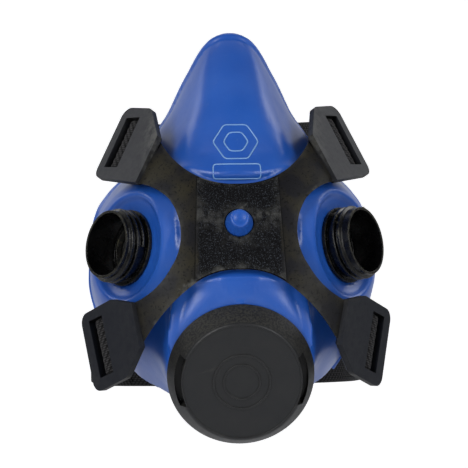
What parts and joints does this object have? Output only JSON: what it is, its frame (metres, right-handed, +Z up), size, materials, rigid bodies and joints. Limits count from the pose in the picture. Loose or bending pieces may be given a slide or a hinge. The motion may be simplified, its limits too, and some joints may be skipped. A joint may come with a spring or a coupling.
{
  "type": "half-mask respirator",
  "caption": "Elastomer half-mask respirator body with side filter sockets, front exhalation valve cover, strap yoke and elastic harness.",
  "frame": {"origin": "centre of the face-seal plane, on the mask's mid plane", "axes": "-Y out of the front of the mask, +Y towards the wearer, +X to the wearer's left, +Z up"},
  "size_m": [0.1122, 0.1766, 0.15],
  "materials": {
    "blue_elastomer": "glossy moulded elastomer",
    "yoke_plastic": "fine grained",
    "socket_plastic": "semi-gloss moulded",
    "valve_plastic": "satin moulded",
    "valve_silicone": "soft satin",
    "cover_plastic": "satin moulded",
    "webbing": "woven elastic",
    "clasp_plastic": "semi-gloss moulded"
  },
  "bodies": {
    "root": {"facepiece": "blue_elastomer", "yoke": "yoke_plastic", "exhalation_seat": "valve_plastic", "filter_socket_left": "socket_plastic", "ring_nut_left": "socket_plastic", "inhalation_seat_left": "valve_plastic", "strap_loop_upper_left": "webbing", "strap_loop_lower_left": "webbing", "filter_socket_right": "socket_plastic", "ring_nut_right": "socket_plastic", "inhalation_seat_right": "valve_plastic", "strap_loop_upper_right": "webbing", "strap_loop_lower_right": "webbing"},
    "cover": {"exhalation_cover": "cover_plastic"},
    "vent_flap": {"exhalation_flap": "valve_silicone"},
    "intake_flap_left": {"inhalation_flap_left": "valve_silicone"},
    "intake_flap_right": {"inhalation_flap_right": "valve_silicone"},
    "head_harness": {"head_strap": "webbing"},
    "neck_harness": {"neck_strap_left": "webbing", "neck_strap_right": "webbing", "clasp_hook": "clasp_plastic", "clasp_catch": "clasp_plastic"}
  },
  "joints": [
    {"name": "cover_pull", "type": "slide", "parent": "root", "child": "cover", "axis": [0, -0.9613, -0.2756], "range_m": [0, 0.015]},
    {"name": "vent_flap_lift", "type": "slide", "parent": "root", "child": "vent_flap", "axis": [0, -0.9613, -0.2756], "range_m": [0, 0.0014]},
    {"name": "intake_flap_left_lift", "type": "slide", "parent": "root", "child": "intake_flap_left", "axis": [-0.7853, 0.5953, -0.1701], "range_m": [0, 0.0012]},
    {"name": "intake_flap_right_lift", "type": "slide", "parent": "root", "child": "intake_flap_right", "axis": [0.7853, 0.5953, -0.1701], "range_m": [0, 0.0012]},
    {"name": "head_strap_swing", "type": "hinge", "parent": "root", "child": "head_harness", "pos_m": [0, -0.028, 0.0337], "axis": [1, 0, 0], "range_deg": [-5, 60]},
    {"name": "neck_strap_swing", "type": "hinge", "parent": "root", "child": "neck_harness", "pos_m": [0, -0.044, -0.041], "axis": [1, 0, 0], "range_deg": [-60, 3]}
  ]
}
